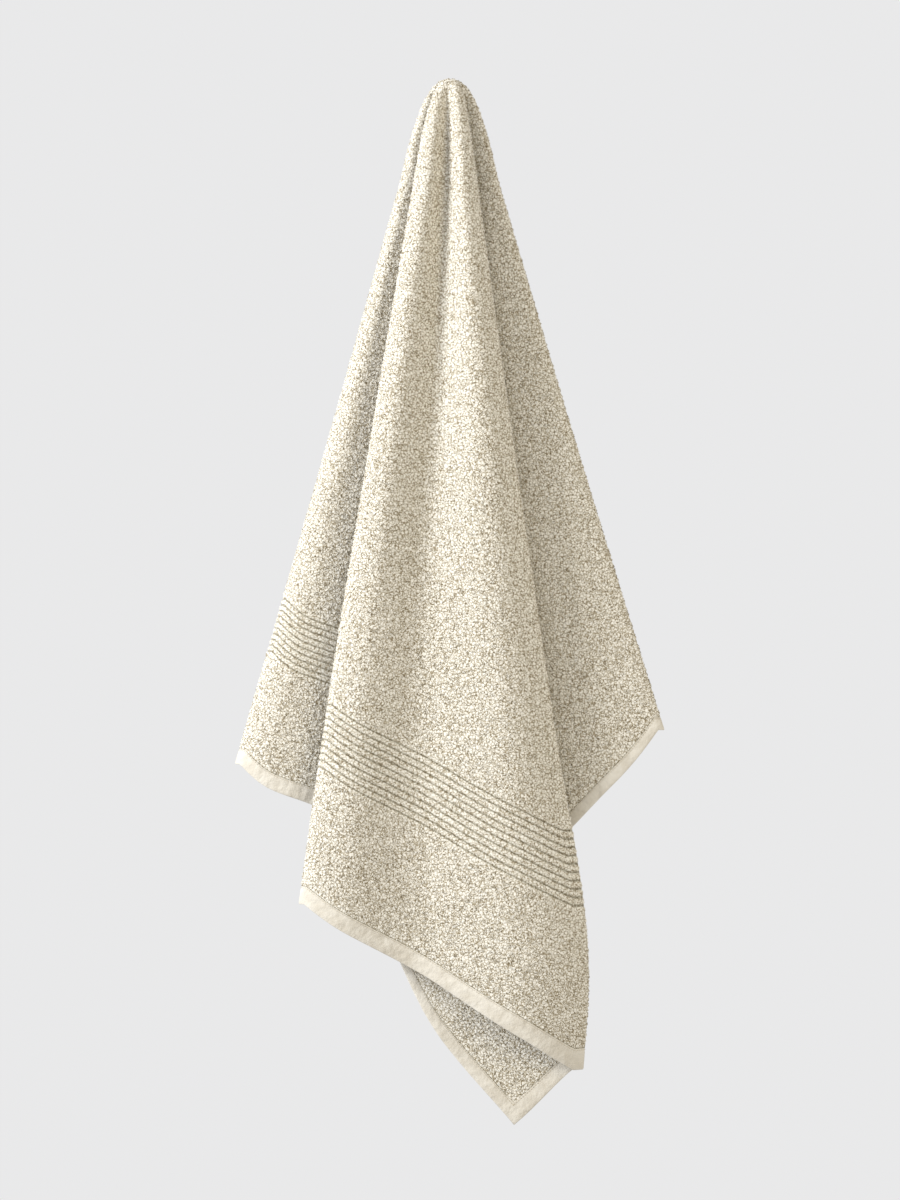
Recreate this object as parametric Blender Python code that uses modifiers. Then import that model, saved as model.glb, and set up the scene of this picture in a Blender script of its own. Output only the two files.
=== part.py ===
"""Bath sheet: one terry cloth hung over a single hook, so that it falls in overlapping folds.

The cloth is read as plan sections stacked from the crown down. FOLDS walks once round a section, from the
free long edge at the back, over the front, and back to the free long edge. Metres, +Z up, front towards -Y,
the hook's tip at the origin.
"""

import bpy
import numpy as np

MM = 0.001

CLOTH_THICK = 0.003          # ground of the cloth with its pile laid flat
NECK = 0.120                 # below this depth the folds are fully formed
LEVELS = (0.120, 0.420, 0.750, 1.060)   # depths of the plan sections in FOLDS
FOOT_DEPTH = 1.180           # depth of the lowest section, in FOOT
CROWN_ROWS = 8               # rows of mesh over the crown, from the hook to the neck
BODY_ROWS = 10               # rows of mesh from the neck down to the ribbed band
HEM_ROWS = 3                 # rows of mesh from the band down to the hem
RIBS = 10                    # raised ribs woven across the cloth in each band
FRONT_BAND = (0.755, 0.839)  # where the front band starts and ends, as shares of the way down to its hem
BACK_BAND = (0.600, 0.737)   # the same band at the cloth's other, nearer end
SPLIT_DEPTH = 0.090          # the free long edge starts this far below the hook
CROWN_ROUND = 0.43           # growth of the crown's width with depth; 0.5 is a parabola
CROWN_OPENING = 1.4          # how soon the folds open out towards the top
CROWN_HALF_WIDTH = 0.058     # plan size that the ring would have at neck depth
CROWN_HALF_DEPTH = 0.034
THIN = 0.4                   # share of the thickness left at the very top, where the pile is crushed
GROOVE = 0.25                # how much of the rest the grooves between ribs keep
TURN_STEPS = 3               # mesh columns round the turn of a doubled fold
RUN_STEPS = 2                # mesh columns for each other span between fold points

# One row for each fold or run of cloth. x, y at each of LEVELS in mm, turn = depth between the two layers of
# a doubled fold at the neck and below (0 for a plain run), reach = how far down its edge lies.
FOLDS = (
    # name              neck        upper       middle      low         turn     reach
    ("free_edge_left", (-2, 35), (-46, 37), (-92, 36), (-135, 36), (0, 0), 838),
    ("back_strip", (-32, 29), (-100, 40), (-170, 42), (-236, 42), (0, 0), 832),
    ("left_edge", (-58, 6), (-143, 15), (-239, 15), (-330, 15), (14, 28), 806),
    ("left_flap", (-52, -10), (-122, -12), (-196, -14), (-270, -14), (0, 0), 834),
    ("left_flap_inner", (-38, -6), (-84, -1), (-136, 0), (-188, 0), (0, 0), 858),
    ("left_hidden_fold", (-24, -2), (-46, 3), (-70, 3), (-92, 3), (10, 9), 900),
    ("panel_left", (-42, -20), (-93, -24), (-147, -24), (-192, -24), (12, 14), 968),
    ("panel_ridge_left", (-26, -38), (-64, -50), (-107, -54), (-136, -54), (0, 0), 1000),
    ("panel_valley", (-4, -4), (-15, -6), (-29, -12), (-38, -12), (0, 0), 1048),
    ("panel_ridge_right", (12, -46), (28, -58), (53, -58), (66, -56), (0, 0), 1112),
    ("panel_right", (35, -20), (74, -22), (123, -20), (166, -20), (-12, -12), 1162),
    ("corner_front", (24, -10), (34, -8), (50, -7), (70, -8), (0, 0), 1229),
    ("under_piece", (14, -7), (4, -5), (-2, -5), (-6, -6), (0, 0), 1128),
    ("right_hidden_fold", (6, -1), (-30, 0), (-58, 0), (-98, 0), (-8, -9), 1000),
    ("right_flap_inner", (30, 3), (30, 6), (50, 6), (66, 6), (0, 0), 945),
    ("right_flap", (50, -2), (112, 0), (184, 4), (254, 4), (0, 0), 832),
    ("right_edge", (61, 5), (148, 11), (252, 13), (352, 13), (-12, -12), 766),
    ("back_first", (20, 14), (40, 17), (64, 17), (90, 17), (0, 0), 780),
    ("back_left_fold", (-30, 19), (-92, 20), (-160, 20), (-224, 20), (-10, -11), 815),
    ("corner_back", (-2, 23), (-4, 24), (-6, 24), (-8, 24), (0, 0), 960),
    ("back_right_fold", (30, 26), (120, 28), (206, 28), (286, 28), (-10, -12), 690),
    ("back_last", (14, 33), (44, 40), (70, 42), (94, 42), (0, 0), 577),
    ("free_edge_right", (-1, 35), (-18, 33), (-38, 32), (-56, 32), (0, 0), 547),
)

# Where the folds that hang lowest have swung to at FOOT_DEPTH; the others run straight on.
FOOT = {
    "panel_ridge_right": (64, -54),
    "panel_right": (158, -18),
    "corner_front": (75, -8),
    "under_piece": (-10, -6),
}


def clear_scene():
    for item in list(bpy.data.objects):
        bpy.data.objects.remove(item, do_unlink=True)


def fold_points():
    """Control points of the sections: (name, positions at LEVELS, reach), two for each doubled fold."""
    points = []
    beyond = (FOOT_DEPTH - LEVELS[-1]) / (LEVELS[-1] - LEVELS[-2])
    for name, neck, upper, middle, low, turn, reach in FOLDS:
        straight_on = np.array(low) + beyond * (np.array(low) - np.array(middle))
        places = np.array((neck, upper, middle, low, FOOT.get(name, straight_on)), float) * MM
        if turn == (0, 0):
            points.append((name, places, reach * MM))
            continue
        half = np.array((turn[0],) + (turn[1],) * len(LEVELS)) * MM / 2
        for side in (1, -1):
            layer = places.copy()
            layer[:, 1] += side * half
            points.append((name, layer, reach * MM))
    return points


def eased(knots, values, place):
    """Smooth curve through `values` at `knots`, read at `place` and straight past the last knot."""
    slopes = np.gradient(values, knots, axis=0)
    if place >= knots[-1]:
        return values[-1] + (place - knots[-1]) * slopes[-1]
    i = int(np.clip(np.searchsorted(knots, place, side="right") - 1, 0, len(knots) - 2))
    span = knots[i + 1] - knots[i]
    t = (place - knots[i]) / span
    return (
        (2 * t**3 - 3 * t**2 + 1) * values[i]
        + (t**3 - 2 * t**2 + t) * span * slopes[i]
        + (3 * t**2 - 2 * t**3) * values[i + 1]
        + (t**3 - t**2) * span * slopes[i + 1]
    )


def level_positions(points, depth):
    """Control points of the section at one depth below the neck."""
    return eased(LEVELS + (FOOT_DEPTH,), np.array([places for _, places, _ in points]).swapaxes(0, 1), depth)


def border_reach(points, places):
    """Depth of the cloth's edge at each place round the section, with a sharp turn at its two low corners."""
    names = [name for name, _, _ in points]
    reach = np.array([row[2] for row in points])
    turns = [0, names.index("corner_front"), names.index("corner_back"), len(points) - 1]
    found = []
    for place in places:
        start, end = next((a, b) for a, b in zip(turns, turns[1:]) if place <= b)
        found.append(eased(np.arange(start, end + 1), reach[start:end + 1], place))
    return np.array(found)


def spline(control, places):
    """Cubic B-spline over the control points, read at `places` and reaching both end points."""
    control = np.vstack((2 * control[0] - control[1], control, 2 * control[-1] - control[-2]))
    i = np.minimum(places.astype(int), len(control) - 4)
    t = (places - i)[:, None]
    return (
        (1 - t) ** 3 * control[i]
        + (3 * t**3 - 6 * t**2 + 4) * control[i + 1]
        + (-3 * t**3 + 3 * t**2 + 3 * t + 1) * control[i + 2]
        + t**3 * control[i + 3]
    ) / 6


def crown_positions(points, depth):
    """Over the crown the folds shrink with the dome's width and open out into a smooth ring."""
    neck = level_positions(points, NECK)
    lengths = np.r_[0, np.cumsum(np.linalg.norm(np.diff(neck, axis=0), axis=1))]
    angle = 0.5 * np.pi + 2 * np.pi * lengths / lengths[-1]
    ring = np.stack((CROWN_HALF_WIDTH * np.cos(angle), CROWN_HALF_DEPTH * np.sin(angle)), axis=1)
    openness = (1 - depth / NECK) ** CROWN_OPENING
    return (depth / NECK) ** CROWN_ROUND * ((1 - openness) * neck + openness * ring)


def section(points, depth, places):
    """Points of the cloth at one depth, read at `places` along the walk round the section."""
    control = crown_positions(points, depth) if depth < NECK else level_positions(points, depth)
    return spline(control, places)


def mesh_places(points):
    """Places of the mesh columns along the walk round the section: closer together where a fold doubles."""
    places = []
    for i, (here, after) in enumerate(zip(points, points[1:])):
        steps = TURN_STEPS if here[0] == after[0] else RUN_STEPS
        places += [i + step / steps for step in range(steps)]
    return np.array(places + [len(points) - 1.0])


def band_shares(points, places):
    """Start and end of the ribbed band on each column, as shares of the way down, and how far it is raised."""
    names = [name for name, _, _ in points]
    ends = [names.index("corner_front"), names.index("corner_back")]
    shares = [np.interp(places, ends, pair) for pair in zip(FRONT_BAND, BACK_BAND)]
    raised = (places <= ends[0]) | (places >= ends[1])
    return shares[0], shares[1], raised


def cloth_grid(points):
    """Rows of points from the crown down to the hem, every column following one line of a fold, and the share
    of the full pile at each point."""
    places = mesh_places(points)
    reach = border_reach(points, places)
    start, end, raised = band_shares(points, places)
    rows, piles = [], []
    for i in range(1, CROWN_ROWS + 1):
        depth = NECK * (i / CROWN_ROWS) ** 2
        rows.append(np.column_stack((section(points, depth, places), np.full(len(places), -depth))))
        piles.append(np.full(len(places), depth / NECK))
    stretches = (
        (NECK, start * reach, BODY_ROWS),
        (start * reach, end * reach, 2 * RIBS),
        (end * reach, reach, HEM_ROWS),
    )
    for top, bottom, count in stretches:
        for i in range(1, count + 1):
            depths = top + (bottom - top) * i / count
            row = [section(points, d, places[k:k + 1])[0] for k, d in enumerate(depths)]
            rows.append(np.column_stack((row, -depths)))
            groove = count == 2 * RIBS and i % 2 == 1
            piles.append(np.where(raised & groove, GROOVE, 1.0))
    return np.array(rows), np.array(piles)


def cloth_object(grid, piles):
    """Open surface of the cloth. The rows above SPLIT_DEPTH close round the back of the hook."""
    rows, columns = grid.shape[:2]
    vertices, pile = [(0.0, 0.0, 0.0)], [0.0]
    index = np.zeros((rows, columns), int)
    for i in range(rows):
        closed = -grid[i, 0, 2] < SPLIT_DEPTH
        for j in range(columns):
            if closed and j == columns - 1:
                index[i, j] = index[i, 0]
                continue
            index[i, j] = len(vertices)
            vertices.append(tuple(grid[i, j]))
            pile.append(piles[i, j])
    faces = [(0, index[0, j + 1], index[0, j]) for j in range(columns - 1)]
    for i in range(rows - 1):
        for j in range(columns - 1):
            faces.append((index[i, j], index[i, j + 1], index[i + 1, j + 1], index[i + 1, j]))
    mesh = bpy.data.meshes.new("bath_sheet")
    mesh.from_pydata(vertices, [], [tuple(int(v) for v in face) for face in faces])
    cloth = bpy.data.objects.new("bath_sheet", mesh)
    group = cloth.vertex_groups.new(name="full_pile")
    for vertex, share in enumerate(pile):
        group.add([vertex], float(share), "REPLACE")
    return cloth


def thicken(cloth):
    thickness = cloth.modifiers.new("thickness", "SOLIDIFY")
    thickness.thickness = CLOTH_THICK
    thickness.offset = 0.0
    thickness.vertex_group = "full_pile"
    thickness.thickness_vertex_group = THIN


def terry_material():
    material = bpy.data.materials.new("cream_terry")
    material.use_nodes = True
    shader = material.node_tree.nodes["Principled BSDF"]
    shader.inputs["Base Color"].default_value = (0.74, 0.68, 0.53, 1.0)
    shader.inputs["Roughness"].default_value = 0.95
    shader.inputs["Metallic"].default_value = 0.0
    return material


def main():
    clear_scene()
    collection = bpy.data.collections.new("Bath Sheet")
    bpy.context.scene.collection.children.link(collection)
    cloth = cloth_object(*cloth_grid(fold_points()))
    collection.objects.link(cloth)
    cloth.location.z = CLOTH_THICK * THIN / 2
    cloth.data.materials.append(terry_material())
    thicken(cloth)


main()
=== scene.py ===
"""The looks of a terry bath sheet hung from one hook: ground cloth, hems, ribbed bands, pile and seams.

Metres, +Z up, front towards -Y, the hook's tip at the origin. The folds are read as plan sections stacked
from the crown down, in the same sizes as the frame's solid. A place is a position along the walk round a
section, counted in fold points. A share is how far down its fold line a point of the cloth lies, 0 to 1.
"""

import bpy
import numpy as np
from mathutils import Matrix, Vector


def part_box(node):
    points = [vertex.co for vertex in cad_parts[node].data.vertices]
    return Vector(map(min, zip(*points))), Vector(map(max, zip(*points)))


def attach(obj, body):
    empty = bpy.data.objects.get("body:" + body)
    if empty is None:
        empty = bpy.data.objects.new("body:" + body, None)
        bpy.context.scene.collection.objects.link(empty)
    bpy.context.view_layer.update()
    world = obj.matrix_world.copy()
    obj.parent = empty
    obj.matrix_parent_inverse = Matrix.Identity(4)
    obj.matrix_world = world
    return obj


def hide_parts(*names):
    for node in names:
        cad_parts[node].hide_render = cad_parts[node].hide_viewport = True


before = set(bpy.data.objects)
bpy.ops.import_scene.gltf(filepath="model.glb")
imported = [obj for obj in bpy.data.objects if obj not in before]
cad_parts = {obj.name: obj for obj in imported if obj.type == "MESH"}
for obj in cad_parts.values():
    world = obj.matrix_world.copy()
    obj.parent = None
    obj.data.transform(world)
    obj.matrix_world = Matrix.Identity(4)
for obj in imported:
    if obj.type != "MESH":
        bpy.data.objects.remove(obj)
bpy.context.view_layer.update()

MM = 0.001

# The cut cloth. The hook lies at the flat origin; X runs to the far long edge and Y to the back end.
FLAT_WIDTH, FLAT_LENGTH = 0.90, 1.50
NEAR_EDGE, FAR_EDGE = -0.09, 0.81
FRONT_END, BACK_END = -0.93, 0.57
END_HEM, SIDE_HEM = 0.020, 0.016
BAND_EDGE, BAND_DEPTH, RIBS = 0.150, 0.078, 10

# The fall of the cloth.
NECK = 0.120
LEVELS = (0.120, 0.420, 0.750, 1.060)
FOOT_DEPTH = 1.180
SPLIT_DEPTH = 0.090
CROWN_ROUND = 0.43
CROWN_OPENING = 5.0
CROWN_HALF_WIDTH = 0.058
CROWN_HALF_DEPTH = 0.034
APEX_HEIGHT = 0.0006

# One row for each fold or run of cloth. x, y at each of LEVELS in mm, turn = depth between the two layers of
# a doubled fold at the neck and below (0 for a plain run), reach = how far down its edge lies.
FOLDS = (
    # name              neck        upper       middle      low         turn     reach
    ("free_edge_left", (-2, 35), (-46, 37), (-92, 36), (-135, 36), (0, 0), 838),
    ("back_strip", (-32, 29), (-100, 40), (-170, 42), (-236, 42), (0, 0), 832),
    ("left_edge", (-58, 6), (-143, 15), (-239, 15), (-330, 15), (14, 28), 806),
    ("left_flap", (-52, -10), (-122, -12), (-196, -14), (-270, -14), (0, 0), 834),
    ("left_flap_inner", (-38, -6), (-84, -1), (-136, 0), (-188, 0), (0, 0), 858),
    ("left_hidden_fold", (-24, -2), (-46, 3), (-70, 3), (-92, 3), (10, 9), 900),
    ("panel_left", (-42, -20), (-93, -24), (-147, -24), (-192, -24), (12, 14), 968),
    ("panel_ridge_left", (-21, -40), (-64, -50), (-107, -54), (-136, -54), (0, 0), 1000),
    ("panel_valley", (-4, -4), (-15, -6), (-29, -12), (-38, -12), (0, 0), 1048),
    ("panel_ridge_right", (12, -46), (28, -58), (53, -58), (66, -56), (0, 0), 1112),
    ("panel_right", (31, -20), (74, -22), (123, -20), (166, -20), (-12, -12), 1162),
    ("corner_front", (22, -10), (34, -8), (50, -7), (70, -8), (0, 0), 1229),
    ("under_piece", (14, -7), (4, -5), (-2, -5), (-6, -6), (0, 0), 1128),
    ("right_hidden_fold", (6, -1), (-30, 0), (-58, 0), (-98, 0), (-8, -9), 1000),
    ("right_flap_inner", (30, 3), (30, 6), (50, 6), (66, 6), (0, 0), 945),
    ("right_flap", (47, -2), (112, 0), (184, 4), (254, 4), (0, 0), 832),
    ("right_edge", (57, 5), (148, 11), (252, 13), (352, 13), (-12, -12), 766),
    ("back_first", (20, 14), (40, 17), (64, 17), (90, 17), (0, 0), 780),
    ("back_left_fold", (-30, 19), (-92, 20), (-160, 20), (-224, 20), (-10, -11), 815),
    ("corner_back", (-2, 23), (-4, 24), (-6, 24), (-8, 24), (0, 0), 960),
    ("back_right_fold", (30, 26), (120, 28), (206, 28), (286, 28), (-10, -12), 690),
    ("back_last", (14, 33), (44, 40), (70, 42), (94, 42), (0, 0), 577),
    ("free_edge_right", (-1, 35), (-18, 33), (-38, 32), (-56, 32), (0, 0), 547),
)
FOOT = {
    "panel_ridge_right": (64, -54),
    "panel_right": (158, -18),
    "corner_front": (75, -8),
    "under_piece": (-10, -6),
}

# Where some of the folds stand round the crown's ring, in degrees from +X; the others lie evenly between.
CROWN_TURNS = (
    # fold            angle
    ("free_edge_left", 90),
    ("left_edge", 182),
    ("panel_left", 218),
    ("panel_valley", 263),
    ("panel_right", 305),
    ("right_edge", 358),
    ("free_edge_right", 450),
)

# Soft secondary folds, pressed into or raised from the main ones: the fold point they follow and how far past
# it, the depths where they fade in and out, their half width in places, and their height in mm.
SOFT_FOLDS = (
    # fold              past   top    bottom  width  height
    ("left_flap", 0.30, 0.10, 0.95, 0.30, -1.2),
    ("left_flap_inner", 0.35, 0.30, 0.95, 0.35, 1.0),
    ("panel_ridge_left", -0.45, 0.25, 1.10, 0.30, -1.3),
    ("panel_ridge_left", 0.45, 0.15, 0.80, 0.30, 1.2),
    ("panel_valley", 0.30, 0.35, 1.20, 0.25, 1.4),
    ("panel_ridge_right", -0.35, 0.55, 1.25, 0.30, -1.2),
    ("panel_ridge_right", 0.40, 0.20, 1.20, 0.30, 1.3),
    ("right_flap", -0.45, 0.12, 0.70, 0.25, 1.2),
    ("right_flap", 0.35, 0.30, 0.90, 0.30, -1.0),
)

SOFT_FADE_IN, SOFT_FADE_OUT = 0.12, 0.15                        # depth over which one rises and dies away
SOFT_DRIFT, SOFT_DRIFT_RATE, SOFT_DRIFT_PHASE = 0.12, 5.0, 3.0  # how it wanders across, in places

# The fine mesh of the ground cloth.
TURN_STEPS, RUN_STEPS = 7, 8
CROWN_ROWS, BODY_ROWS, RIB_ROWS, LOWER_ROWS, HEM_ROWS = 20, 56, 4, 12, 4

# Half thicknesses and reliefs of the ground cloth. RIB_SHOULDERS is how far from a groove's middle a rib
# starts and is full, in ribs; CORNER_PATCH is the ground by a corner that the hems' shade leaves out.
GROUND_HALF = 0.8 * MM
HEM_HALF = 1.1 * MM
RIM_HALF = 0.6 * MM
RIM_WIDTH = 1.2 * MM
CROWN_THIN = 0.4
RIB_RISE = 0.7 * MM
RIB_SHOULDERS = (0.02, 0.32)
HEM_BLUR = 0.6 * MM
SEAM_DIP, SEAM_WIDTH = 0.5 * MM, 0.9 * MM
SEAM_SHADE = 2.0 * MM
CORNER_PATCH = 14 * MM
HEM_FACES = 0.3              # faces up to this share of SEAM_SHADE past a hem belong to it

# The looped pile.
LOOP_PITCH = 3.55 * MM
LOOP_LENGTH, LOOP_WIDTH, LOOP_HEIGHT = 5.6 * MM, 2.6 * MM, 1.3 * MM
LOOP_SIZES = (0.8, 1.2)
LOOP_LEAN_ALONG, LOOP_LEAN_ASIDE = 0.35, 0.4
LOOP_SINK = 0.3 * MM
PACKED_SIZE = 0.8            # size of a loop on a rib
LOOPS_A_PIECE = 49000
LOOP_SEED = 11
PILE_MARGIN = 2.2 * MM
RIB_GROOVE = 0.29
CURL_SCALE = 280.0
WANDER_SCALE, WANDER = 350.0, 6.0 * MM

# Colours of the pile and the ground from a gap's middle out, at GAP_STOPS: painted shade, darkest in the middle
# of a gap between the loops.
GAP_STOPS = (0.015, 0.07, 0.14)
GAP_SHADE_COLOUR = (0.14, 0.10, 0.05)
BLACK, WHITE = (0, 0, 0), (1, 1, 1)

# The map that the patterns are baked through: the flat cloth, its two sides next to each other.
BAKE_MARGIN, BAKE_SCALE = 0.02, 1.90
LOOP_SPREAD, STITCH_SPREAD = 1.2 * MM, 0.6 * MM

# The seams.
STITCH_PITCH, STITCH_LENGTH, STITCH_RADIUS = 3.4 * MM, 2.5 * MM, 0.32 * MM
STITCH_INSET = 1.4 * MM
STITCH_SIDES = 4
STITCH_TAPER, STITCH_LIFT, STITCH_SINK = 0.3, 0.2, 0.25   # shares of the radius
SMALL_STEP = 1e-3


def smooth_step(value, low, high):
    t = np.clip((value - low) / (high - low), 0, 1)
    return t * t * (3 - 2 * t)


def fold_points():
    """Control points, two for a doubled fold: name, positions at LEVELS and FOOT_DEPTH, reach."""
    points = []
    beyond = (FOOT_DEPTH - LEVELS[-1]) / (LEVELS[-1] - LEVELS[-2])
    for name, neck, upper, middle, low, turn, reach in FOLDS:
        straight_on = np.array(low) + beyond * (np.array(low) - np.array(middle))
        places = np.array((neck, upper, middle, low, FOOT.get(name, straight_on)), float) * MM
        if turn == (0, 0):
            points.append((name, places, reach * MM))
            continue
        half = np.array((turn[0],) + (turn[1],) * len(LEVELS)) * MM / 2
        for side in (1, -1):
            layer = places.copy()
            layer[:, 1] += side * half
            points.append((name, layer, reach * MM))
    return points


POINTS = fold_points()
NAMES = [name for name, _, _ in POINTS]
KNOTS = np.array(LEVELS + (FOOT_DEPTH,))
CONTROL = np.array([places for _, places, _ in POINTS]).swapaxes(0, 1)
CORNERS = (0, NAMES.index("corner_front"), NAMES.index("corner_back"), len(POINTS) - 1)


def eased(knots, values, places):
    """Smooth curve through `values` at `knots`, read at each of `places` and straight past the last knot."""
    knots = np.asarray(knots, float)
    values = np.asarray(values, float)
    slopes = np.gradient(values, knots, axis=0)
    i = np.clip(np.searchsorted(knots, places, side="right") - 1, 0, len(knots) - 2)
    shape = (-1,) + (1,) * (values.ndim - 1)
    span = (knots[i + 1] - knots[i]).reshape(shape)
    t = (places - knots[i]).reshape(shape) / span
    within = (
        (2 * t**3 - 3 * t**2 + 1) * values[i]
        + (t**3 - 2 * t**2 + t) * span * slopes[i]
        + (3 * t**2 - 2 * t**3) * values[i + 1]
        + (t**3 - t**2) * span * slopes[i + 1]
    )
    beyond = (places - knots[-1]).reshape(shape)
    return np.where(beyond >= 0, values[-1] + beyond * slopes[-1], within)


def border_reach(places):
    """Depth of the cloth's edge at each place: sharp at the two low corners, level round a doubled fold."""
    reach = np.array([row[2] for row in POINTS])
    found = np.zeros(len(places))
    for start, end in zip(CORNERS, CORNERS[1:]):
        inside = (places >= start) & (places <= end)
        found[inside] = eased(np.arange(start, end + 1), reach[start:end + 1], places[inside])
    for i, (here, after) in enumerate(zip(NAMES, NAMES[1:])):
        if here == after:
            found[(places >= i) & (places <= i + 1)] = reach[i]
    return found


def spline(control, places):
    """Cubic B-spline over each row of control points, read at that row's place; it reaches both ends."""
    first = 2 * control[:, :1] - control[:, 1:2]
    last = 2 * control[:, -1:] - control[:, -2:-1]
    control = np.concatenate((first, control, last), axis=1)
    i = np.minimum(places.astype(int), control.shape[1] - 4)
    t = (places - i)[:, None]
    row = np.arange(len(places))
    return (
        (1 - t) ** 3 * control[row, i]
        + (3 * t**3 - 6 * t**2 + 4) * control[row, i + 1]
        + (-3 * t**3 + 3 * t**2 + 3 * t + 1) * control[row, i + 2]
        + t**3 * control[row, i + 3]
    ) / 6


def crown_control(depths):
    """Over the crown the folds shrink with the dome's width and open out into a smooth ring."""
    neck = CONTROL[0]
    lengths = np.r_[0, np.cumsum(np.linalg.norm(np.diff(neck, axis=0), axis=1))]
    turned = [NAMES.index(name) for name, _ in CROWN_TURNS]
    angle = np.radians(np.interp(lengths, lengths[turned], [turn for _, turn in CROWN_TURNS]))
    ring = np.stack((CROWN_HALF_WIDTH * np.cos(angle), CROWN_HALF_DEPTH * np.sin(angle)), axis=1)
    share = np.clip(depths / NECK, 0, 1)[:, None, None]
    openness = (1 - share) ** CROWN_OPENING
    return share ** CROWN_ROUND * ((1 - openness) * neck + openness * ring)


def plain_fall(places, depths):
    """Middle surface of the cloth with its main folds alone, at each place and depth."""
    below = eased(KNOTS, CONTROL, np.maximum(depths, NECK))
    control = np.where((depths < NECK)[:, None, None], crown_control(depths), below)
    return np.column_stack((spline(control, places), APEX_HEIGHT - depths))


def soft_relief(places, depths):
    """Height of the secondary folds over the main ones."""
    height = np.zeros(len(places))
    for name, past, top, bottom, width, rise in SOFT_FOLDS:
        last = len(NAMES) - 1 - NAMES[::-1].index(name)
        middle = (last if past > 0 else NAMES.index(name)) + past
        drift = SOFT_DRIFT * np.sin(SOFT_DRIFT_RATE * depths + SOFT_DRIFT_PHASE * middle)
        across = np.exp(-(((places - middle - drift) / width) ** 2))
        risen = smooth_step(depths, top, top + SOFT_FADE_IN)
        along = risen * (1 - smooth_step(depths, bottom - SOFT_FADE_OUT, bottom))
        height += rise * MM * across * along
    return height


def mesh_places():
    """Places of the mesh columns, with the cloth's corners among them."""
    places = []
    for i, (here, after) in enumerate(zip(NAMES, NAMES[1:])):
        steps = TURN_STEPS if here == after else RUN_STEPS
        places += [i + step / steps for step in range(steps)]
    return np.array(places + [len(NAMES) - 1.0])


def border_flat(places):
    """Flat X, Y of the cloth's edge at each place, spread along each edge as the hung edge is."""
    fine = np.linspace(0, CORNERS[-1], 60 * CORNERS[-1] + 1)
    edge = plain_fall(fine, border_reach(fine))
    lengths = np.r_[0, np.cumsum(np.linalg.norm(np.diff(edge, axis=0), axis=1))]
    corners = np.array(
        ((NEAR_EDGE, FRONT_END), (FAR_EDGE, FRONT_END), (FAR_EDGE, BACK_END), (NEAR_EDGE, BACK_END))
    )
    at = np.interp(places, fine, lengths)
    knots = np.interp(CORNERS, fine, lengths)
    return np.column_stack([np.interp(at, knots, corners[:, k]) for k in (0, 1)])


def flat_coordinates(places, depths):
    """Flat X, Y of the cloth at each place and depth.

    A fold line is a ray from the hook to the edge, and next to the slit the rays draw out along the near long
    edge.
    """
    edge = border_flat(places)
    share = depths / border_reach(places)
    to_edge = np.clip(depths / SPLIT_DEPTH, 0, 1)
    nearness = np.clip(edge[:, 0] / NEAR_EDGE, 0, 1)
    across = share + nearness * (to_edge - share)
    return np.column_stack((edge[:, 0] * across, edge[:, 1] * share))


def edge_distances(flat):
    """Flat distance to the nearer end and to the nearer long edge."""
    to_end = np.minimum(flat[:, 1] - FRONT_END, BACK_END - flat[:, 1])
    to_side = np.minimum(flat[:, 0] - NEAR_EDGE, FAR_EDGE - flat[:, 0])
    return to_end, to_side


def hem_distances(flat):
    """Flat distance past the nearer end hem and past the nearer side hem; negative on the hem."""
    to_end, to_side = edge_distances(flat)
    return to_end - END_HEM, to_side - SIDE_HEM


def hem_share(flat):
    """1 on the hems, 0 on the terry."""
    return 1 - smooth_step(np.minimum(*hem_distances(flat)), -HEM_BLUR, HEM_BLUR)


def band_phase(flat):
    """How many ribs into the band each point lies, and whether it is in one of the bands."""
    phase = (edge_distances(flat)[0] - BAND_EDGE) / BAND_DEPTH * RIBS
    return phase, (phase > 0) & (phase < RIBS)


def rib_profile(flat):
    """1 on the crown of a rib, 0 in the narrow groove between two."""
    phase, inside = band_phase(flat)
    to_groove = np.abs((phase % 1) - 0.5)
    return np.where(inside, smooth_step(to_groove, *RIB_SHOULDERS), 0.0), inside


def half_thickness(flat, depths, ribbed=True):
    """Half the ground cloth's thickness: its hems, seam dips, rounded rim and, where `ribbed`, its ribs."""
    hem = hem_share(flat)
    rib, inside = rib_profile(flat)
    inner = np.minimum(*hem_distances(flat))
    dip = SEAM_DIP * np.exp(-((inner / SEAM_WIDTH) ** 2))
    half = GROUND_HALF * (1 - hem) + HEM_HALF * hem - dip
    half += np.where(inside & ribbed, RIB_RISE * (rib - 0.5), 0.0)
    rim = 1 - smooth_step(np.minimum(*edge_distances(flat)), 0, RIM_WIDTH)
    half = half * (1 - rim) + RIM_HALF * rim
    crown = CROWN_THIN + (1 - CROWN_THIN) * np.clip(depths / NECK, 0, 1)
    return half * crown


def on_side(places):
    """Columns between the two low corners, whose fold lines end on the far long edge."""
    return (places > CORNERS[1]) & (places < CORNERS[2])


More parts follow.
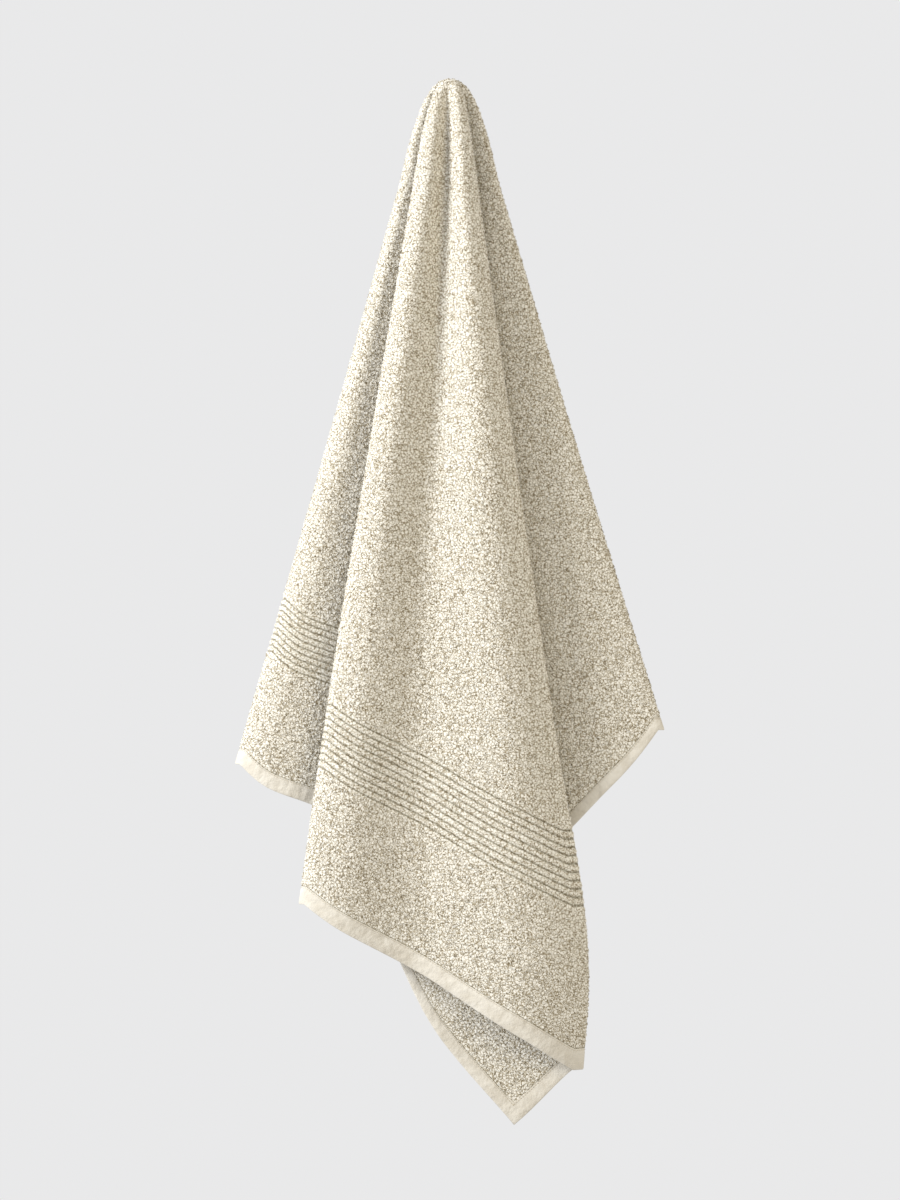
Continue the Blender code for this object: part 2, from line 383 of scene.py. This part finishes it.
def row_depths(places):
    """Depth of each mesh row on each column: crown, body, band, lower body, hem and rim."""
    reach = border_reach(places)
    edge = border_flat(places)
    sideways = on_side(places)
    run = np.where(sideways, FAR_EDGE, np.abs(edge[:, 1]))
    hem = np.where(sideways, SIDE_HEM, END_HEM)
    ends = np.array((CORNERS[1], CORNERS[2]))
    start, stop = (
        np.interp(places, ends, [1 - depth / abs(end) for end in (FRONT_END, BACK_END)])
        for depth in (BAND_EDGE + BAND_DEPTH, BAND_EDGE)
    )
    rows = [np.full(len(places), NECK * (i / CROWN_ROWS) ** 2) for i in range(1, CROWN_ROWS + 1)]
    beside = (1 - (hem + SEAM_SHADE) / run) * reach
    seam = (1 - hem / run) * reach
    rim = (1 - RIM_WIDTH / run) * reach
    stretches = (
        (rows[-1], start * reach, BODY_ROWS),
        (start * reach, stop * reach, RIBS * RIB_ROWS),
        (stop * reach, beside, LOWER_ROWS),
        (beside, seam, 1),
        (seam, rim, HEM_ROWS),
        (rim, reach, 2),
    )
    for top, bottom, count in stretches:
        rows += [top + (bottom - top) * i / count for i in range(1, count + 1)]
    return np.array(rows)


def unit(vectors):
    return vectors / np.maximum(np.linalg.norm(vectors, axis=-1, keepdims=True), 1e-12)


class Cloth:
    """The hung sheet as a grid of rows and columns, with its outward normals and flat coordinates."""

    def __init__(self):
        self.places = mesh_places()
        self.beside = on_side(self.places)
        self.depths = row_depths(self.places)
        self.rows, self.columns = self.depths.shape
        place = np.tile(self.places, self.rows)
        depth = self.depths.ravel()
        middle = plain_fall(place, depth).reshape(self.rows, self.columns, 3)
        closed = self.closed_rows()
        relief = soft_relief(place, depth).reshape(self.rows, self.columns, 1)
        middle += relief * self.normals_of(middle, closed)
        self.middle = middle
        self.normals = self.normals_of(middle, closed)
        self.flat = flat_coordinates(place, depth).reshape(self.rows, self.columns, 2)
        half = half_thickness(self.flat.reshape(-1, 2), depth, np.tile(~self.beside, self.rows))
        self.half = half.reshape(self.rows, self.columns, 1)
        for row in closed:
            self.half[row, -1] = self.half[row, 0]

    def closed_rows(self):
        """Rows above the slit, which close round the back of the hook."""
        return [i for i in range(self.rows) if self.depths[i, 0] < SPLIT_DEPTH]

    @staticmethod
    def normals_of(grid, closed):
        normals = unit(np.cross(np.gradient(grid, axis=0), np.gradient(grid, axis=1)))
        for row in closed:
            joint = unit(normals[row, 0] + normals[row, -1])
            normals[row, 0] = normals[row, -1] = joint
        return normals

    def side(self, sign):
        """Outer (+1) or inner (-1) surface of the ground cloth."""
        return self.middle + sign * self.half * self.normals


def bake_map(flat, sign):
    """Places in the unit square: the flat cloth's outer side on the left, its inner side on the right."""
    across = flat[..., 0] - NEAR_EDGE + BAKE_MARGIN + (0.0 if sign > 0 else FLAT_WIDTH + BAKE_MARGIN)
    along = flat[..., 1] - FRONT_END + BAKE_MARGIN
    return np.stack((across / BAKE_SCALE, along / BAKE_SCALE), axis=-1)


def new_object(name, vertices, faces, uvs):
    """Smooth-shaded object with a place in the bake map for each vertex."""
    mesh = bpy.data.meshes.new(name)
    mesh.from_pydata(vertices, [], faces)
    layer = mesh.uv_layers.new(name="OFBake")
    corners = np.zeros(len(mesh.loops), np.int32)
    mesh.loops.foreach_get("vertex_index", corners)
    layer.data.foreach_set("uv", uvs[corners].astype(np.float32).ravel())
    mesh.shade_smooth()
    piece = bpy.data.objects.new(name, mesh)
    bpy.context.scene.collection.objects.link(piece)
    return piece


def add_attribute(piece, name, values):
    layer = piece.data.attributes.new(name, "FLOAT", "POINT")
    layer.data.foreach_set("value", values.astype(np.float32))


def ground_cloth(cloth):
    """Closed thin sheet: two grids joined round the hem and down the two free edges.

    Its attribute `open` is 0 where no loop covers the ground, in the bands' grooves and beside the hems, and
    the ground material paints shade there. Its second material is the hems'.
    """
    rows, columns = cloth.rows, cloth.columns
    vertices, uvs, flats, follows = [], [], [], []
    index = {}
    closed = set(cloth.closed_rows())
    for sign in (1, -1):
        surface = cloth.side(sign)
        lookup = np.zeros((rows, columns), int)
        apex = (0.0, 0.0, APEX_HEIGHT + sign * CROWN_THIN * GROUND_HALF)
        index[sign, "apex"] = len(vertices)
        vertices.append(apex)
        flats.append(np.zeros(2))
        follows.append(True)
        uvs.append(bake_map(np.zeros(2), sign))
        uv = bake_map(cloth.flat, sign)
        for i in range(rows):
            for j in range(columns):
                if i in closed and j == columns - 1:
                    lookup[i, j] = lookup[i, 0]
                    continue
                lookup[i, j] = len(vertices)
                vertices.append(surface[i, j])
                uvs.append(uv[i, j])
                flats.append(cloth.flat[i, j])
                follows.append(not cloth.beside[j])
        index[sign] = lookup
    faces = []
    for sign in (1, -1):
        grid, apex = index[sign], index[sign, "apex"]
        order = slice(None, None, sign)
        for j in range(columns - 1):
            faces.append((apex, grid[0, j], grid[0, j + 1])[order])
        for i in range(rows - 1):
            for j in range(columns - 1):
                faces.append((grid[i, j], grid[i + 1, j], grid[i + 1, j + 1], grid[i, j + 1])[order])
    outer, inner = index[1], index[-1]
    for j in range(columns - 1):
        faces.append((outer[-1, j], inner[-1, j], inner[-1, j + 1], outer[-1, j + 1]))
    slit = max(closed)
    for i in range(slit, rows - 1):
        faces.append((outer[i, 0], inner[i, 0], inner[i + 1, 0], outer[i + 1, 0]))
        faces.append((outer[i + 1, -1], inner[i + 1, -1], inner[i, -1], outer[i, -1]))
    faces = [tuple(int(v) for v in face) for face in faces]
    piece = new_object("terry_ground", np.array(vertices), faces, np.array(uvs))
    flats, follows = np.array(flats), np.array(follows)
    rib, inside = rib_profile(flats)
    past_end, past_side = hem_distances(flats)
    # Painted shade along the seams: the ground darkens within SEAM_SHADE past a hem, but not in CORNER_PATCH by
    # a corner.
    hem_seam_shade = smooth_step(np.minimum(past_end, past_side), 0, SEAM_SHADE)
    hem_seam_shade[np.maximum(past_end, past_side) < CORNER_PATCH] = 1
    add_attribute(piece, "open", np.where(inside & follows, rib, 1.0) * hem_seam_shade)
    centre = np.array([flats[list(face)].mean(axis=0) for face in faces])
    hem = np.minimum(*hem_distances(centre)) < HEM_FACES * SEAM_SHADE
    piece.data.polygons.foreach_set("material_index", hem.astype(np.int32))
    return piece


def scattered_points(cloth, sign, generator):
    """Points strewn evenly over one side of the cloth: position, outward normal, way down and flat X, Y."""
    surface, normals = cloth.side(sign), sign * cloth.normals
    diagonals = surface[1:, 1:] - surface[:-1, :-1], surface[1:, :-1] - surface[:-1, 1:]
    area = 0.5 * np.linalg.norm(np.cross(*diagonals), axis=-1).ravel()
    total = np.cumsum(area)
    count = int(total[-1] / LOOP_PITCH**2)
    steps = (np.arange(count) + generator.random(count)) / count * total[-1]
    cell = np.searchsorted(total, steps)
    i, j = cell // (cloth.columns - 1), cell % (cloth.columns - 1)
    u, v = generator.random(count), generator.random(count)

    def read(grid):
        along = u[:, None]
        down = v[:, None]
        top = grid[i, j] * (1 - along) + grid[i, j + 1] * along
        low = grid[i + 1, j] * (1 - along) + grid[i + 1, j + 1] * along
        return top * (1 - down) + low * down

    below = surface[i + 1, j] - surface[i, j]
    return read(surface), unit(read(normals)), unit(below), read(cloth.flat)


def pile_points(cloth, generator):
    """Where the loops stand, on both sides: everywhere but on the hems and in the grooves of the bands."""
    found = []
    for sign in (1, -1):
        place, normal, down, flat = scattered_points(cloth, sign, generator)
        phase, inside = band_phase(flat)
        to_end, to_side = edge_distances(flat)
        open_ground = (to_end > END_HEM + PILE_MARGIN) & (to_side > SIDE_HEM + PILE_MARGIN)
        on_rib = np.abs((phase % 1) - 0.5) > RIB_GROOVE
        kept = open_ground & (on_rib | ~inside)
        uv = bake_map(flat, sign)
        found.append([values[kept] for values in (place, normal, down, uv, inside)])
    return [np.concatenate(values) for values in zip(*found)]


def loop_pieces(cloth):
    """The looped pile: small four-sided tufts, each a short curl lying at its own angle, in a few pieces."""
    generator = np.random.default_rng(LOOP_SEED)
    place, normal, down, uv, inside = pile_points(cloth, generator)
    order = generator.permutation(len(place))
    pieces = []
    for number, start in enumerate(range(0, len(place), LOOPS_A_PIECE)):
        chosen = order[start:start + LOOPS_A_PIECE]
        values = (array[chosen] for array in (place, normal, down, uv, inside))
        pieces.append(loop_piece(f"terry_loops_{number + 1}", generator, *values))
    return pieces


def loop_piece(name, generator, place, normal, down, uv, inside):
    """Five points to a loop: four round its root and one at its top. Those `inside` a band lie across it."""
    count = len(place)
    angle = generator.uniform(0, np.pi, count)
    angle = np.where(inside, 0.5 * np.pi + 0.5 * (angle - 0.5 * np.pi), angle)
    across = unit(np.cross(normal, down))
    down = np.cross(across, normal)
    along = np.cos(angle)[:, None] * down + np.sin(angle)[:, None] * across
    aside = np.cross(normal, along)
    size = generator.uniform(*LOOP_SIZES, (3, count, 1)) * np.where(inside, PACKED_SIZE, 1.0)[:, None]
    half_length = 0.5 * LOOP_LENGTH * size[0] * along
    half_width = 0.5 * LOOP_WIDTH * size[1] * aside
    rise = LOOP_HEIGHT * size[2] * normal
    lean = generator.uniform(-LOOP_LEAN_ALONG, LOOP_LEAN_ALONG, (count, 1)) * half_length
    lean = lean + generator.uniform(-LOOP_LEAN_ASIDE, LOOP_LEAN_ASIDE, (count, 1)) * half_width
    root = place - LOOP_SINK * normal
    top = place + rise + lean
    points = (root + half_length, root + half_width, root - half_length, root - half_width, top)
    vertices = np.stack(points, axis=1)
    base = 5 * np.arange(count)[:, None]
    sides = np.array(((0, 1, 4), (1, 2, 4), (2, 3, 4), (3, 0, 4)))
    faces = (base[:, :, None] + sides[None]).reshape(-1, 3)
    spread = LOOP_SPREAD * np.array(((1, 0), (0, 1), (-1, 0), (0, -1), (0, 0)))
    uvs = (uv[:, None] + spread[None]).reshape(-1, 2)
    piece = new_object(name, vertices.reshape(-1, 3), faces.tolist(), uvs)
    # height is 0 round a loop's root and 1 at its top; the loop material paints shade towards the root.
    add_attribute(piece, "height", np.tile((0.0, 0.0, 0.0, 0.0, 1.0), count))
    add_attribute(piece, "tint", np.repeat(generator.random(count), 5))
    add_attribute(piece, "rib", np.repeat(inside.astype(float), 5))
    return piece


def node(tree, kind, **settings):
    made = tree.nodes.new(kind)
    for name, value in settings.items():
        setattr(made, name, value)
    return made


def fabric(name, roughness, sheen):
    material = bpy.data.materials.new(name)
    material.use_nodes = True
    tree = material.node_tree
    shader = tree.nodes["Principled BSDF"]
    shader.inputs["Roughness"].default_value = roughness
    shader.inputs["Sheen Weight"].default_value = sheen
    shader.inputs["Sheen Roughness"].default_value = 0.6
    shader.inputs["Specular IOR Level"].default_value = 0.2
    return material, tree, shader


def ramp(tree, source, stops):
    """Colour ramp over a value: stops are (position, colour)."""
    made = node(tree, "ShaderNodeValToRGB")
    elements = made.color_ramp.elements
    for element, (position, colour) in zip(elements, (stops[0], stops[-1])):
        element.position = position
        element.color = (*colour, 1)
    for position, colour in stops[1:-1]:
        element = elements.new(position)
        element.color = (*colour, 1)
    tree.links.new(source, made.inputs["Fac"])
    return made.outputs["Color"]


def noise(tree, scale, detail=2.0):
    coordinates = node(tree, "ShaderNodeTexCoord")
    made = node(tree, "ShaderNodeTexNoise")
    made.inputs["Scale"].default_value = scale
    made.inputs["Detail"].default_value = detail
    tree.links.new(coordinates.outputs["Object"], made.inputs["Vector"])
    return made.outputs["Fac"]


def attribute(tree, name):
    made = node(tree, "ShaderNodeAttribute", attribute_name=name)
    return made.outputs["Fac"]


def blend(tree, kind, first, second):
    made = node(tree, "ShaderNodeMix", data_type="RGBA", blend_type=kind)
    made.inputs[0].default_value = 1.0
    tree.links.new(first, made.inputs[6])
    tree.links.new(second, made.inputs[7])
    return made.outputs[2]


def multiply(tree, first, second):
    return blend(tree, "MULTIPLY", first, second)


def bump(tree, shader, source, distance):
    made = node(tree, "ShaderNodeBump")
    made.inputs["Distance"].default_value = distance
    made.inputs["Strength"].default_value = 1.0
    tree.links.new(source, made.inputs["Height"])
    tree.links.new(made.outputs["Normal"], shader.inputs["Normal"])


def curls(tree):
    """Distance from the winding gaps between the loops, in loops: 0 in a gap, up to about 0.5 on a loop."""
    coordinates = node(tree, "ShaderNodeTexCoord")
    wander = node(tree, "ShaderNodeTexNoise")
    wander.inputs["Scale"].default_value = WANDER_SCALE
    tree.links.new(coordinates.outputs["Object"], wander.inputs["Vector"])
    shift = node(tree, "ShaderNodeVectorMath", operation="MULTIPLY_ADD")
    shift.inputs[1].default_value = (WANDER, WANDER, WANDER)
    tree.links.new(wander.outputs["Color"], shift.inputs[0])
    tree.links.new(coordinates.outputs["Object"], shift.inputs[2])
    cells = node(tree, "ShaderNodeTexVoronoi", feature="DISTANCE_TO_EDGE")
    cells.inputs["Scale"].default_value = CURL_SCALE
    tree.links.new(shift.outputs["Vector"], cells.inputs["Vector"])
    return cells.outputs["Distance"]


# Painted shade in the winding gaps between the loops: dark in a gap's middle, lighter out from it.
def gap_shade_colours(tree, gaps, beside, clear):
    return ramp(tree, gaps, tuple(zip(GAP_STOPS, (GAP_SHADE_COLOUR, beside, clear))))


def ground_material():
    """The woven ground between the loops, with painted shade in the winding gaps of the pile, in the grooves of
    the bands and beside the hems.
    """
    material, tree, shader = fabric("terry_ground", 0.95, 0.1)
    gaps = curls(tree)
    # weave: the ground's colour with painted shade in the gaps between the loops.
    weave = gap_shade_colours(tree, gaps, (0.47, 0.42, 0.31), (0.72, 0.69, 0.62))
    # Painted shade: the ground is darker where `open` is low, in the bands' grooves and beside the hems.
    grooves = ramp(tree, attribute(tree, "open"), ((0.0, (0.36, 0.345, 0.28)), (0.8, WHITE)))
    tree.links.new(multiply(tree, weave, grooves), shader.inputs["Base Color"])
    bump(tree, shader, gaps, 0.0006)
    return material


def loop_material():
    """Looped cotton: painted shade in the winding gaps between the curls, fainter where a rib packs them,
    painted shade towards each loop's root, and a tint for each loop.
    """
    material, tree, shader = fabric("terry_loops", 0.9, 0.25)
    gaps = curls(tree)
    packed = ramp(tree, attribute(tree, "rib"), ((0.0, BLACK), (1.0, (0.82, 0.78, 0.70))))
    # curl: painted shade in the gaps on the loops, lightened on the ribs by `packed`.
    curl = blend(tree, "LIGHTEN", gap_shade_colours(tree, gaps, (0.60, 0.54, 0.41), WHITE), packed)
    # root: painted shade, each loop darker towards its root where `height` is 0.
    root = ramp(tree, attribute(tree, "height"), ((0.0, (0.88, 0.84, 0.77)), (0.5, WHITE)))
    tints = ramp(tree, attribute(tree, "tint"), ((0.0, (0.71, 0.68, 0.61)), (1.0, (0.77, 0.75, 0.695))))
    tone = ramp(tree, noise(tree, 9.0, 3.0), ((0.3, (0.95, 0.95, 0.94)), (0.7, WHITE)))
    colour = multiply(tree, multiply(tree, root, tints), multiply(tree, tone, curl))
    tree.links.new(colour, shader.inputs["Base Color"])
    bump(tree, shader, gaps, 0.0004)
    return material


def hem_material():
    """Flat woven hems: a fine plain weave with a faint pink cast and slubs along it."""
    material, tree, shader = fabric("hem_weave", 0.85, 0.15)
    tone = ramp(tree, noise(tree, 60.0, 3.0), ((0.35, (0.53, 0.49, 0.415)), (0.65, (0.61, 0.575, 0.505))))
    tree.links.new(tone, shader.inputs["Base Color"])
    bump(tree, shader, noise(tree, 110.0, 6.0), 0.0022)
    return material


def thread_material():
    material, tree, shader = fabric("hem_thread", 0.8, 0.1)
    tone = ramp(tree, noise(tree, 200.0), ((0.3, (0.50, 0.43, 0.31)), (0.7, (0.60, 0.53, 0.40))))
    tree.links.new(tone, shader.inputs["Base Color"])
    return material


def seam_lines():
    """The rows of stitches, as (place, depth) lines: along the two ends and the far long edge."""
    lines = []
    for start, end, run, hem in (
        (CORNERS[0], CORNERS[1], -FRONT_END, END_HEM),
        (CORNERS[1], CORNERS[2], FAR_EDGE, SIDE_HEM),
        (CORNERS[2], CORNERS[3], BACK_END, END_HEM),
    ):
        places = np.linspace(start, end, 120 * (end - start) + 1)
        lines.append((places, border_reach(places) * (1 - (hem - STITCH_INSET) / run)))
    return lines


def seams():
    """Lockstitches along the hems, one row on each side of the cloth: short rounded threads."""
    ring = 2 * np.pi * (np.arange(STITCH_SIDES) + 0.5) / STITCH_SIDES
    vertices, faces, uvs = [], [], []
    for places, depths in seam_lines():
        middle = plain_fall(places, depths)
        lengths = np.r_[0, np.cumsum(np.linalg.norm(np.diff(middle, axis=0), axis=1))]
        at = np.arange(0.5 * STITCH_PITCH, lengths[-1], STITCH_PITCH)
        place = np.interp(at, lengths, places)
        depth = np.interp(at, lengths, depths)
        here = plain_fall(place, depth)
        slope = np.interp(at, lengths, np.gradient(depths, places))
        along = unit(plain_fall(place + SMALL_STEP, depth + SMALL_STEP * slope) - here)
        down = unit(plain_fall(place, depth + SMALL_STEP) - here)
        normal = unit(np.cross(down, along))
        flat = flat_coordinates(place, depth)
        half = half_thickness(flat, depth)[:, None]
        here = here + soft_relief(place, depth)[:, None] * normal
        for sign in (1, -1):
            uv = bake_map(flat, sign)
            centre = here + sign * (half + STITCH_LIFT * STITCH_RADIUS) * normal
            side = np.cross(along, normal)
            for k in range(len(at)):
                base = len(vertices)
                for end, size in ((-1.0, STITCH_TAPER), (0.0, 1.0), (1.0, STITCH_TAPER)):
                    for turn in ring:
                        around = np.cos(turn) * side[k] + np.sin(turn) * sign * normal[k]
                        offset = size * STITCH_RADIUS * around
                        sink = STITCH_SINK * STITCH_RADIUS * (end != 0) * sign * normal[k]
                        vertices.append(centre[k] + 0.5 * end * STITCH_LENGTH * along[k] + offset - sink)
                        uvs.append(uv[k] + STITCH_SPREAD * np.array((end, np.sin(turn))))
                for layer in range(2):
                    for turn in range(STITCH_SIDES):
                        a = base + layer * STITCH_SIDES + turn
                        b = base + layer * STITCH_SIDES + (turn + 1) % STITCH_SIDES
                        faces.append((a, b, b + STITCH_SIDES, a + STITCH_SIDES)[::sign])
                faces.append(tuple(range(base + STITCH_SIDES - 1, base - 1, -1))[::sign])
                faces.append(tuple(range(base + 2 * STITCH_SIDES, base + 3 * STITCH_SIDES))[::sign])
    return new_object("hem_stitches", np.array(vertices), faces, np.array(uvs))


def make_towel():
    cloth = Cloth()
    ground = ground_cloth(cloth)
    ground.data.materials.append(ground_material())
    ground.data.materials.append(hem_material())
    loops = loop_pieces(cloth)
    loop_finish = loop_material()
    for piece in loops:
        piece.data.materials.append(loop_finish)
    stitches = seams()
    stitches.data.materials.append(thread_material())
    for piece in (ground, stitches, *loops):
        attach(piece, "root")
    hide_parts("bath_sheet")


# The view, the floor under the towel and the two lights.
towel_low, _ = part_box("bath_sheet")
VIEW_HEIGHT = 1.412
VIEW_MIDDLE = -0.612
CAMERA_DISTANCE = 4.0
SENSOR = 36.0
FLOOR_GAP = 0.22
FLOOR_RADIUS, FLOOR_THICK = 0.70, 0.02
FLOOR_BEVEL = 0.004
LIGHTS = (
    # name  place             size power colour
    ("key", (-3.0, -1.4, 0.8), 1.0, 180.0, (0.97, 0.985, 1.0)),
    ("fill", (2.6, -2.4, 0.0), 2.0, 34.0, (1.0, 0.82, 0.45)),
)


def aimed(thing, target):
    thing.rotation_euler = (Vector(target) - thing.location).to_track_quat("-Z", "Y").to_euler()


def make_camera():
    data = bpy.data.cameras.new("camera")
    data.sensor_width = SENSOR
    data.lens = SENSOR * CAMERA_DISTANCE / VIEW_HEIGHT
    camera = bpy.data.objects.new("camera", data)
    camera.location = (0.0, -CAMERA_DISTANCE, VIEW_MIDDLE)
    aimed(camera, (0.0, 0.0, VIEW_MIDDLE))
    bpy.context.scene.collection.objects.link(camera)
    bpy.context.scene.camera = camera


def make_light(name, place, size, power, colour):
    data = bpy.data.lights.new(name, "AREA")
    data.size = size
    data.energy = power
    data.color = colour
    light = bpy.data.objects.new(name, data)
    light.location = place
    aimed(light, (0.0, 0.0, VIEW_MIDDLE))
    bpy.context.scene.collection.objects.link(light)


def make_world():
    world = bpy.data.worlds.new("studio")
    world.use_nodes = True
    background = world.node_tree.nodes["Background"]
    background.inputs["Color"].default_value = (0.815, 0.815, 0.82, 1)
    background.inputs["Strength"].default_value = 1.0
    bpy.context.scene.world = world


def make_floor():
    bpy.ops.mesh.primitive_cylinder_add(vertices=96, radius=FLOOR_RADIUS, depth=FLOOR_THICK)
    floor = bpy.context.active_object
    floor.name = "floor"
    floor.location.z = towel_low.z - FLOOR_GAP - FLOOR_THICK / 2
    bevel = floor.modifiers.new("edge", "BEVEL")
    bevel.width = FLOOR_BEVEL
    bevel.segments = 3
    material, _, shader = fabric("pale_floor", 0.7, 0.0)
    shader.inputs["Base Color"].default_value = (0.45, 0.45, 0.46, 1)
    floor.data.materials.append(material)


make_towel()
make_camera()
for light_row in LIGHTS:
    make_light(*light_row)
make_world()
make_floor()
bpy.context.scene.view_settings.view_transform = "Standard"
